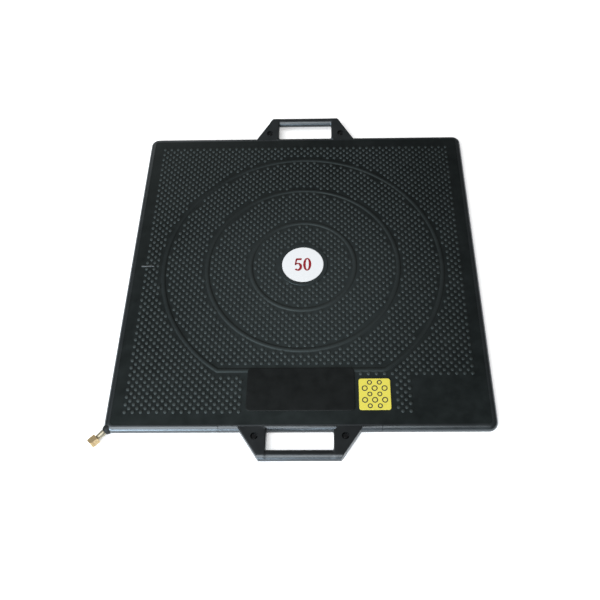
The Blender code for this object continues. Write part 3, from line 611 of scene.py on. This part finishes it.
def bow_shell():
    """The bow as a section carried round the hand gap: rays run from the gap's round-cornered
    edge to the outline, bunched at both ends by a cosine, with the half-height above and below."""
    far_side, near_side = GRIP_CENTRE - GRIP_WIDTH / 2 + GRIP_SEAM, -BOW_SEAM
    inner = np.array([(GAP_HALF, far_side), (GAP_HALF, near_side), (-GAP_HALF, near_side),
                      (-GAP_HALF, far_side)])
    back = HANDLE_BACK + BOW_SEAM
    spread_back = CHEEK_ROOT - back * (CHEEK_ROOT - CHEEK_TIP) / HANDLE_REACH
    outer = np.array([(CHEEK_TIP, HANDLE_REACH), (spread_back, back), (-spread_back, back),
                      (-CHEEK_TIP, HANDLE_REACH)])
    share = (1 - np.cos(np.pi * np.linspace(0.0, 1.0, 41)[:-1])) / 2
    near = np.concatenate([a + share[:, None] * (b - a) for a, b in zip(inner, np.roll(inner, -1, 0))])
    core = np.clip(near, inner.min(0) + GAP_CORNER, inner.max(0) - GAP_CORNER)
    away = near - core
    near = core + GAP_CORNER * away / np.linalg.norm(away, axis=1, keepdims=True)
    far = np.concatenate([a + share[:, None] * (b - a) for a, b in zip(outer, np.roll(outer, -1, 0))])
    run = (1 - np.cos(np.pi * np.linspace(0.0, 1.0, 27))) / 2
    plan = near[:, None, :] + run[None, :, None] * (far - near)[:, None, :]
    height = np.maximum(bow_height(plan[..., 0], plan[..., 1]), THINNEST)
    top = np.concatenate([plan, height[..., None]], -1)
    bottom = np.concatenate([plan, -height[..., None]], -1)[:, ::-1]
    points = np.concatenate([top, bottom], 1)
    return points.reshape(-1, 3), [quad_grid(len(near), 2 * len(run), True, True)]


def base_shell():
    """The half-round base: the edge's section, cut at its back, carried along the bag's edge and
    drawn in a little at both ends."""
    offset, height = edge_section(-BAND_WIDTH)
    keep = np.maximum(offset, HANDLE_BACK)
    ends = np.array([BASE_HALF - BASE_BEVEL, BASE_HALF])
    stations = np.concatenate([-ends[::-1], [-BASE_LOOP, 0.0, BASE_LOOP], ends])
    shrink = np.where(np.abs(stations) == BASE_HALF, BASE_SHRINK, 0.0)[:, None]
    points = np.stack(np.broadcast_arrays(
        stations[:, None], keep[None, :] - shrink, height[None, :] * (1 - shrink / EDGE_RADIUS)
    ), -1)
    count = len(offset)
    caps = [np.arange(count)[None, ::-1], (np.arange(count) + count * (len(stations) - 1))[None, :]]
    return points.reshape(-1, 3), [quad_grid(len(stations), count, False, True), *caps]


def place_handle(points, front):
    """Moves handle coordinates to the bag's edge; the front one is turned half round."""
    sign = -1.0 if front else 1.0
    return points * np.array([sign, sign, 1.0]) + np.array([0.0, sign * BAG_HALF, MID_HEIGHT])


def place_bow(points, front):
    """Turns the bow or its bolts up about the axis of the half-round base, then places them."""
    tilt = FRONT_TILT if front else REAR_TILT
    out, rise = points[:, 1] + EDGE_RADIUS, points[:, 2]
    run, climb = math.cos(tilt), math.sin(tilt)
    turned_out, turned_up = out * run - rise * climb, out * climb + rise * run
    return place_handle(np.stack([points[:, 0], turned_out - EDGE_RADIUS, turned_up], -1), front)


def block_shell(low, high):
    """A plain block between two corners."""
    corners = np.array([(x, y, z) for x in (0, 1) for y in (0, 1) for z in (0, 1)])
    faces = np.array([(0, 1, 3, 2), (4, 6, 7, 5), (0, 4, 5, 1), (2, 3, 7, 6), (0, 2, 6, 4),
                      (1, 5, 7, 3)])
    return np.array(low) + corners * (np.array(high) - np.array(low)), [faces]


def cut_or_join(piece, shell, operation):
    """Joins a shell to a piece, or cuts it out, and keeps the result as the piece's mesh."""
    tool = make_piece("tool", [shell], piece.data.materials[0])
    modifier = piece.modifiers.new("tool", "BOOLEAN")
    modifier.operation = operation
    modifier.solver = "EXACT"
    modifier.object = tool
    graph = bpy.context.evaluated_depsgraph_get()
    result = bpy.data.meshes.new_from_object(piece.evaluated_get(graph))
    piece.modifiers.clear()
    piece.data = result
    bpy.data.objects.remove(tool)


bore_profile = [(COUNTERBORE, BORE_REACH), (COUNTERBORE, BORE_FLOOR), (BOLT_HOLE, BORE_FLOOR),
                (BOLT_HOLE, POCKET_ROOF), (COUNTERBORE, POCKET_ROOF), (COUNTERBORE, -BORE_REACH)]
trim_x, trim_y, trim_z = TRIM_REACH
trim = block_shell((-trim_x, -trim_y, -trim_z), (trim_x, HANDLE_BACK + TRIM_EASE, trim_z))
for handle_name, front in (("front_handle", True), ("rear_handle", False)):
    bow, base = bow_shell(), base_shell()
    handle = make_piece(
        f"{handle_name}_moulding", [(place_bow(bow[0], front), bow[1])], handle_rubber, HANDLE_SMOOTH
    )
    cut_or_join(handle, (place_handle(trim[0], front), trim[1]), "DIFFERENCE")
    cut_or_join(handle, (place_handle(base[0], front), base[1]), "UNION")
    for x in (-BOLT_X, BOLT_X):
        bore_points, bore_faces = turned_shell(bore_profile, 48, False)
        bore_points = place_bow(bore_points + np.array([x, BOLT_Y, 0.0]), front)
        cut_or_join(handle, (bore_points, bore_faces), "DIFFERENCE")
    handle.data.name = handle.name
    handle.data.shade_smooth()
    handle.data.set_sharp_from_angle(angle=math.radians(HANDLE_SMOOTH))
    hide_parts(handle_name)
    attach(handle, "rim")

# Handle fasteners: zinc-plated M6 hexagon bolts in the counterbores, flat washers under their
# heads, and nuts in the pockets below.
HEAD_FLATS = 0.0100
HEAD_EYE = 0.0002
HEAD_LOW = 0.0048
HEAD_HIGH = 0.0088
SHANK_RADIUS = 0.0030
WASHER_RADIUS = 0.0060
WASHER_LOW = 0.0033
WASHER_HIGH = 0.0045
NUT_LOW = -0.0094
NUT_HIGH = -0.0054
CLEAR_BORE = 0.0033


def hex_shell(flats, profile, steps=48):
    """A hexagon turned part.  Each point's radius is the smaller of a hexagon's, flats / 2 over
    the cosine of the angle from the flat's middle, and the profile's own radius."""
    profile = np.asarray(profile, float)
    angle = np.linspace(0.0, 2 * np.pi, steps, endpoint=False)
    flat = flats / 2 / np.cos((angle % (np.pi / 3)) - np.pi / 6)
    radius = np.minimum(profile[:, 0, None], flat[None, :])
    points = np.stack([radius * np.cos(angle), radius * np.sin(angle),
                       profile[:, 1, None] + 0.0 * angle], -1).reshape(-1, 3)
    return points, [quad_grid(len(profile), steps, True, True)]


def chamfered(outer, inner, low, high, rise):
    """Profile of a ring whose outer corners are turned off by a straight slope in three steps, from
    just inside the flats to just outside the hexagon's corners."""
    wide = outer / 2 / math.cos(math.pi / 6) * 1.02
    slim = outer * 0.475
    steps = np.linspace(0.0, 1.0, 4)
    lower = [(slim + (wide - slim) * s, low + rise * s) for s in steps]
    upper = [(wide - (wide - slim) * s, high - rise + rise * s) for s in steps]
    return [(inner, low), *lower, *upper, (inner, high)]


for corner in CORNERS:
    front = corner.startswith("front")
    left = corner.endswith("left")
    x = -BOLT_X if left != front else BOLT_X
    shift = np.array([x, BOLT_Y, 0.0])
    head = hex_shell(HEAD_FLATS, chamfered(HEAD_FLATS, HEAD_EYE, HEAD_LOW, HEAD_HIGH, rise=0.0008))
    shank_profile = [(0.0027, -0.0102), (SHANK_RADIUS, -0.0098), (SHANK_RADIUS, 0.0050)]
    shank = turned_shell(shank_profile, 32, False)
    washer_profile = [(CLEAR_BORE, WASHER_LOW), (0.0058, WASHER_LOW), (WASHER_RADIUS, 0.0035),
                      (WASHER_RADIUS, 0.0043), (0.0058, WASHER_HIGH), (CLEAR_BORE, WASHER_HIGH)]
    washer = turned_shell(washer_profile, 40, True)
    nut = hex_shell(HEAD_FLATS, chamfered(HEAD_FLATS, CLEAR_BORE, NUT_LOW, NUT_HIGH, rise=0.0007))
    for name, shells in (("bolt", [head, shank]), ("washer", [washer]), ("nut", [nut])):
        placed = [(place_bow(points + shift, front), faces) for points, faces in shells]
        piece = make_piece(f"{corner}_{name}_plated", placed, zinc_steel, smooth_angle=25.0)
        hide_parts(f"{corner}_{name}")
        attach(piece, "rim")

# Air inlet: a brass stem through the band's corner, sealed on its inner flange by a rubber ring,
# and a brass hexagon hose nut that turns freely behind the stem's head.
STEM_BORE = 0.0030
STEM_RADIUS = 0.0050
SWIVEL_START = 0.0430
SWIVEL_END = 0.0610
SWIVEL_FLATS = 0.0200
SWIVEL_BORE = 0.0053
SOCKET_RADIUS = 0.0066
SOCKET_FLOOR = 0.0466
THREAD_START = 0.0520
THREAD_END = 0.0602
THREAD_PITCH = 0.0012
THREAD_RADIUS = 0.00675
THREAD_WAVE = 0.00015
GASKET_BORE = 0.0034
GASKET_LOW = 0.0502
GASKET_HIGH = 0.0517

brass = metal_material("turned_brass", (0.84, 0.66, 0.39), (0.50, 0.35, 0.17), 0.32, 260.0)
stem_brass = metal_material("stem_brass", (0.50, 0.46, 0.36), (0.30, 0.27, 0.19), 0.44, 260.0)
seal_rubber = rubber_material(
    "seal_rubber", (0.010, 0.010, 0.010), (0.018, 0.018, 0.018), (0.03, 0.03, 0.03), 0.6
)
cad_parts["inlet_seal"].data.materials.clear()
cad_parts["inlet_seal"].data.materials.append(seal_rubber)

# Each point is a radius and a place along the inlet: flange, shank, collar and taper, neck and head.
stem_profile = [(STEM_BORE, -0.0048), (0.0065, -0.0048), (0.0068, -0.0045), (0.0068, -0.0021),
                (0.0065, -0.0018), (STEM_RADIUS, -0.0018), (STEM_RADIUS, 0.0253), (0.0062, 0.0255),
                (0.0065, 0.0259), (0.0065, 0.0290), (0.0052, 0.0415), (STEM_RADIUS, 0.0420),
                (STEM_RADIUS, 0.0469), (0.0063, 0.0469), (0.0063, 0.0497), (0.0061, 0.0499),
                (STEM_BORE, 0.0499)]
stem = make_piece(
    "inlet_stem_turned", [along_inlet(turned_shell(stem_profile, 48, True))], stem_brass,
    smooth_angle=30.0,
)
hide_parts("inlet_stem")
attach(stem, "rim")

# The thread is a cosine about its mean radius, one wave to each pitch.
thread = np.linspace(THREAD_START, THREAD_END, 41)
thread_radius = THREAD_RADIUS + THREAD_WAVE * np.cos((thread - THREAD_START) / THREAD_PITCH * 2 * np.pi)
outside = chamfered(SWIVEL_FLATS, SWIVEL_BORE, SWIVEL_START, SWIVEL_END, rise=0.0011)[:-1]
nut_profile = [*outside, (0.0074, SWIVEL_END), *zip(thread_radius[::-1], thread[::-1]),
               (SOCKET_RADIUS, 0.0518), (SOCKET_RADIUS, SOCKET_FLOOR), (SWIVEL_BORE, SOCKET_FLOOR)]
hose_nut = make_piece(
    "hose_nut_turned", [along_inlet(hex_shell(SWIVEL_FLATS, nut_profile, 72))], brass,
    smooth_angle=25.0,
)
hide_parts("swivel_nut")
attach(hose_nut, "hose_nut")

gasket_profile = [(GASKET_BORE, GASKET_LOW), (0.0061, GASKET_LOW), (0.0063, 0.0505), (0.0063, 0.0514),
                  (0.0061, GASKET_HIGH), (GASKET_BORE, GASKET_HIGH)]
gasket = make_piece(
    "hose_gasket_ring", [along_inlet(turned_shell(gasket_profile, 48, True))], seal_rubber
)
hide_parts("hose_gasket")
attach(gasket, "hose_nut")

# Upper laminate and cover: the same bonded sheets and moulded skin the other way up.  The cover's
# outer ring is cut by a straight rib, a bare raised panel lies in front of it, and plain patches
# leave room for the label.
laminate("upper")

UPPER_FACE = MID_HEIGHT + FACE_HEIGHT
CHORD = 0.267
CHORD_CLEARANCE = 0.0105
CHORD_HALF_LENGTH = 0.184
CHORD_SPARE = 0.0008
PANEL = (-0.112, 0.112, -0.359, -0.2625)
PANEL_CORNER = 0.009
PANEL_RISE = 0.00205
PANEL_FIELD_HALF = 0.121
PANEL_FIELD_BACK = -0.256
LABEL_FIELD = (0.110, 0.194)
LABEL_FIELD_BACK = -0.281
PATCH_LEFT = 0.227
PATCH_BACK = -0.279
MARKER_RIM_INNER = 0.0481


def upper_blocked(x, y):
    """Places with no nub on the upper cover: the ribs and the chord, the marker, the panel, the
    label and the plain corner patch.  The outer ring blocks none beyond its chord."""
    chord_foot = -CHORD - RIB_BASE_HALF
    label_left, label_right = LABEL_FIELD
    blocked = near_rings(x, y, RIB_RADII[:2]) | (np.hypot(x, y) < PAD_CLEARING)
    blocked |= near_rings(x, y, RIB_RADII[2:]) & ~(y < chord_foot - CHORD_SPARE)
    beside_label = (x > label_left) & (y < chord_foot)
    by_chord = (np.abs(y + CHORD) < CHORD_CLEARANCE) & (np.abs(x) < CHORD_HALF_LENGTH)
    blocked |= by_chord & ~beside_label
    blocked |= (np.abs(x) < PANEL_FIELD_HALF) & (y < PANEL_FIELD_BACK)
    blocked |= (x > label_left) & (x < label_right) & (y < LABEL_FIELD_BACK)
    return blocked | ((x > PATCH_LEFT) & (y < PATCH_BACK))


upper_skin = make_piece(
    "upper_cover_skin",
    [sheet_shell(SHEET, COVER_CORNER, UPPER_FACE - COVER_THICKNESS, UPPER_FACE, COVER_CELL)],
    cover_rubber,
)
rim_top, rim_root = UPPER_FACE + RELIEF, UPPER_FACE - ROOT_DEPTH
rim_profile = [(PAD_RADIUS, rim_root), (PAD_RADIUS, rim_top - PAD_BEVEL),
               (PAD_RADIUS - PAD_BEVEL, rim_top), (MARKER_RIM_INNER + PAD_BEVEL, rim_top),
               (MARKER_RIM_INNER, rim_top - PAD_BEVEL), (MARKER_RIM_INNER, rim_root)]
upper_ribs = make_piece(
    "upper_cover_ribs",
    [rib_shell(radius, chord, UPPER_FACE, 1) for radius, chord in zip(RIB_RADII, (None, None, CHORD))],
    rib_rubber,
)
marker_rim = make_piece("marker_rim", [turned_shell(rim_profile, 128, True)], cover_rubber)
upper_nubs = make_piece(
    "upper_cover_nubs", [nub_shell(nub_places(upper_blocked), UPPER_FACE, 1)], nub_rubber
)
panel_rubber = rubber_material(
    "panel_rubber", (0.0030, 0.0034, 0.0033), (0.0054, 0.0060, 0.0059), (0.011, 0.012, 0.0118), 0.46,
    shine=0.25, tint=(0.93, 1.0, 0.99),
)
bare_panel = make_piece(
    "name_panel",
    [sheet_shell(
        PANEL, PANEL_CORNER, UPPER_FACE - ROOT_DEPTH, UPPER_FACE + PANEL_RISE, cell=0.006,
        shoulder=0.0005,
    )],
    panel_rubber,
)
for piece in (upper_skin, upper_ribs, marker_rim, upper_nubs, bare_panel):
    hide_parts("upper_cover")
    fill_with_air(piece)

# Centre marker: a white plastic disc glued into the moulded rim.  It shows where the load goes and
# carries the rating as a plain number, printed in red.
MARKER_RADIUS = 0.0475
MARKER_HOLE = 0.0004
MARKER_BEVEL = 0.0004
MARKER_BEVEL_DROP = 0.0003
MARKER_BOTTOM = UPPER_FACE + 0.0003
MARKER_TOP = UPPER_FACE + 0.0017
NUMBER_HEIGHT = 0.0345
PRINT_SINK = 0.0002
PRINT_RISE = 0.00015


def printed_material(name, colour, worn_and_painted_light, roughness):
    """Printed plastic: one colour, worn in small patches."""
    material = bpy.data.materials.new(name)
    material.use_nodes = True
    tree = material.node_tree
    shader = tree.nodes["Principled BSDF"]
    wear_and_painted_light = spread(tree, noise_node(tree, 70.0, 8.0, 0.7), 0.0, 0.6, 0.55, 0.8)
    tree.links.new(mix_colours(tree, wear_and_painted_light, colour, worn_and_painted_light), shader.inputs["Base Color"])
    shader.inputs["Roughness"].default_value = roughness
    add_bump(tree, shader, noise_node(tree, 500.0, 2.0), 0.00005, 0.3)
    return material


white_marker = printed_material("white_marker", (0.79, 0.785, 0.775), (0.70, 0.695, 0.69), 0.45)
red_print = printed_material("red_print", (0.27, 0.006, 0.013), (0.34, 0.03, 0.04), 0.5)
marker_profile = [(MARKER_HOLE, MARKER_BOTTOM), (MARKER_RADIUS, MARKER_BOTTOM),
                  (MARKER_RADIUS, MARKER_TOP - MARKER_BEVEL_DROP),
                  (MARKER_RADIUS - MARKER_BEVEL, MARKER_TOP),
                  *((radius, MARKER_TOP) for radius in (0.040, 0.030, 0.020, 0.010, MARKER_HOLE))]
marker = make_piece(
    "centre_marker_disc", [turned_shell(marker_profile, 96, True)], white_marker, smooth_angle=20.0
)
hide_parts("centre_marker")
fill_with_air(marker)


def stroke_shell(path, width, low, high, closed=False):
    """A pen stroke: a flat bar whose width changes, carried along a path in the plane."""
    ahead = np.gradient(path, axis=0)
    if closed:
        ahead = np.roll(path, -1, 0) - np.roll(path, 1, 0)
    across = np.stack([-ahead[:, 1], ahead[:, 0]], -1)
    across /= np.linalg.norm(across, axis=1, keepdims=True)
    left, right = path + across * width[:, None] / 2, path - across * width[:, None] / 2
    count = len(path)
    corners = [np.column_stack([side, np.full(count, z)])
               for side, z in ((left, low), (right, low), (right, high), (left, high))]
    points = np.stack(corners, 1).reshape(-1, 3)
    faces = [quad_grid(count, 4, closed, True)]
    if not closed:
        faces += [np.arange(4)[None, ::-1], (np.arange(4) + 4 * (count - 1))[None, :]]
    return points, faces


def number_shells(height, low, high):
    """A five and a nought, drawn in units of 1/28 of their height.  The five is a top bar, a thin
    stem and a bowl that swells; the nought is an ellipse whose stroke is widest at its sides."""
    unit = height / 28.0
    shift = np.array([-8.3, -14.0])
    bar = np.linspace([6.0, 25.6], [-4.6, 25.6], 12)
    five_bar = stroke_shell((bar + shift) * unit, np.linspace(4.3, 3.7, 12) * unit, low, high)
    stem = np.linspace([-3.8, 25.0], [-5.4, 13.4], 12)
    five_stem = stroke_shell((stem + shift) * unit, np.full(12, 3.0) * unit, low, high)
    sweep = np.linspace(np.radians(150.0), np.radians(-142.0), 56)
    bowl = np.stack([-0.9 + 5.6 * np.cos(sweep), 8.6 + 7.4 * np.sin(sweep)], -1)
    swell = 2.6 + 2.3 * np.clip(np.cos(sweep + 0.1), 0.0, 1.0) ** 0.7
    swell[-12:] = np.maximum(swell[-12:], np.linspace(2.4, 3.8, 12))
    five_bowl = stroke_shell((bowl + shift) * unit, swell * unit, low, high)
    turn = np.linspace(0.0, 2 * np.pi, 72, endpoint=False)
    ring = np.stack([8.2 + 5.2 * np.cos(turn), 13.0 * np.sin(turn)], -1)
    nought = stroke_shell(ring * unit, (2.4 + 2.3 * np.abs(np.cos(turn)) ** 1.4) * unit, low, high, True)
    return [five_bar, five_stem, five_bowl, nought]


number = make_piece(
    "rating_number", number_shells(NUMBER_HEIGHT, MARKER_TOP - PRINT_SINK, MARKER_TOP + PRINT_RISE),
    red_print,
)
fill_with_air(number)

# Label plate and index mark: a yellow plastic plate, glued on the cover and printed with plain
# rings, and a short stroke of white paint on the left margin at mid-side.
LABEL = (0.1205, 0.1857, -0.3573, -0.2877)
LABEL_CORNER = 0.005
LABEL_BOTTOM = UPPER_FACE + 0.0003
LABEL_TOP = UPPER_FACE + 0.0011
RING_ROWS = (2, 3, 2, 3, 2)
RING_COLUMN_STEP = 0.0205
RING_ROW_STEP = 0.0130
RING_SMALL = 0.0042
RING_LARGE = 0.0052
RING_STROKE = 0.0022
INK_SINK = 0.0001
INK_RISE = 0.00008
INDEX_START = (-0.3725, -0.0015)
INDEX_END = (-0.3435, -0.0015)
INDEX_WIDTHS = (0.0022, 0.0012)
label_yellow = printed_material("label_yellow", (0.70, 0.60, 0.080), (0.44, 0.38, 0.04), 0.5)
label_ink = printed_material("label_ink", (0.03, 0.03, 0.03), (0.10, 0.09, 0.05), 0.5)
paint_white = printed_material("paint_white", (0.115, 0.12, 0.12), (0.05, 0.055, 0.055), 0.55)
label = make_piece(
    "label_plate_sheet",
    [sheet_shell(LABEL, LABEL_CORNER, LABEL_BOTTOM, LABEL_TOP, cell=0.005, shoulder=0.0002)],
    label_yellow,
)
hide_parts("label_plate")
fill_with_air(label)

plain_rings = []
turn = np.linspace(0.0, 2 * np.pi, 32, endpoint=False)
circle = np.stack([np.cos(turn), np.sin(turn)], -1)
for row, columns in enumerate(RING_ROWS):
    for column in range(columns):
        centre = np.array([
            (LABEL[0] + LABEL[1]) / 2 + (column - (columns - 1) / 2) * RING_COLUMN_STEP,
            (LABEL[2] + LABEL[3]) / 2 + (row - (len(RING_ROWS) - 1) / 2) * RING_ROW_STEP,
        ])
        size = RING_LARGE if columns == max(RING_ROWS) else RING_SMALL
        plain_rings.append(stroke_shell(
            centre + size * circle, np.full(len(circle), RING_STROKE), LABEL_TOP - INK_SINK,
            LABEL_TOP + INK_RISE, closed=True,
        ))
label_print = make_piece("label_print", plain_rings, label_ink)
fill_with_air(label_print)
dash, dash_width = np.linspace(INDEX_START, INDEX_END, 9), np.linspace(*INDEX_WIDTHS, 9)
index_mark = make_piece(
    "index_mark",
    [stroke_shell(dash, dash_width, UPPER_FACE - PRINT_SINK, UPPER_FACE + RELIEF)],
    paint_white,
)
fill_with_air(index_mark)

# Studio: a pale floor, one large soft light above at the front left, a low window light at the
# front left, a faint glow at the rear left, and the camera at the photograph's angle.
FLOOR_HALF = 80
floor_mesh = bpy.data.meshes.new("floor")
floor_corners = [(x * FLOOR_HALF, y * FLOOR_HALF, 0) for x, y in ((-1, -1), (1, -1), (1, 1), (-1, 1))]
floor_mesh.from_pydata(floor_corners, [], [(0, 1, 2, 3)])
floor = bpy.data.objects.new("floor", floor_mesh)
bpy.context.scene.collection.objects.link(floor)
floor_material = bpy.data.materials.new("pale_floor")
floor_material.use_nodes = True
floor_shader = floor_material.node_tree.nodes["Principled BSDF"]
floor_shader.inputs["Base Color"].default_value = (0.93, 0.93, 0.93, 1.0)
floor_shader.inputs["Roughness"].default_value = 0.9
floor_shader.inputs["Emission Color"].default_value = (1.0, 1.0, 1.0, 1.0)
floor_shader.inputs["Emission Strength"].default_value = 0.4
floor_mesh.materials.append(floor_material)


def soft_light(name, place, target, size, power, colour):
    """A rectangular light.  It is tilted up from straight down by the angle whose tangent is the
    aim's length on the floor over its drop, and turned to the aim's direction on the floor."""
    data = bpy.data.lights.new(name, "AREA")
    data.shape = "RECTANGLE"
    data.size, data.size_y = size
    data.energy = power
    data.color = colour
    light = bpy.data.objects.new(name, data)
    bpy.context.scene.collection.objects.link(light)
    aim = np.array(target) - np.array(place)
    light.location = place
    light.rotation_euler = (
        math.atan2(math.hypot(aim[0], aim[1]), -aim[2]), 0.0, math.atan2(aim[0], -aim[1]) + math.pi
    )


soft_light("key", (-1.5, -2.2, 4.6), (0.0, 0.0, 0.0), (4.4, 4.0), 292.0, (0.98, 0.99, 1.0))
soft_light("low_window", (-1.8, -2.9, 0.88), (-0.3, -0.4, 0.0), (2.9, 1.3), 195.0, (0.74, 0.87, 1.0))
soft_light("rear_glow", (-1.2, 2.6, 1.6), (-0.1, 0.2, 0.0), (1.6, 0.8), 5.0, (1.0, 1.0, 0.97))
world = bpy.data.worlds.new("studio")
world.use_nodes = True
world.node_tree.nodes["Background"].inputs["Color"].default_value = (1.0, 1.0, 1.0, 1.0)
world.node_tree.nodes["Background"].inputs["Strength"].default_value = 0.10
bpy.context.scene.world = world
bpy.context.scene.view_settings.view_transform = "Standard"

CAMERA_TARGET = np.array([0.0357, -0.0781, 0.0])
CAMERA_DISTANCE = 1.578
ELEVATION, YAW, ROLL = math.radians(58.82), math.radians(2.08), math.radians(-2.21)
along_floor = math.cos(ELEVATION)
back = np.array([math.sin(YAW) * along_floor, -math.cos(YAW) * along_floor, math.sin(ELEVATION)])
level = np.array([math.cos(YAW), math.sin(YAW), 0.0])
upright = np.cross(back, level)
right = math.cos(ROLL) * level + math.sin(ROLL) * upright
up = math.cos(ROLL) * upright - math.sin(ROLL) * level
camera_data = bpy.data.cameras.new("camera")
camera_data.lens = 41.66
camera_data.sensor_width = 36.0
camera_data.shift_x = -0.0307
camera_data.shift_y = -0.0020
camera = bpy.data.objects.new("camera", camera_data)
bpy.context.scene.collection.objects.link(camera)
pose = np.eye(4)
pose[:3, 0], pose[:3, 1], pose[:3, 2] = right, up, back
pose[:3, 3] = CAMERA_TARGET + CAMERA_DISTANCE * back
camera.matrix_world = Matrix(pose.tolist())
bpy.context.scene.camera = camera
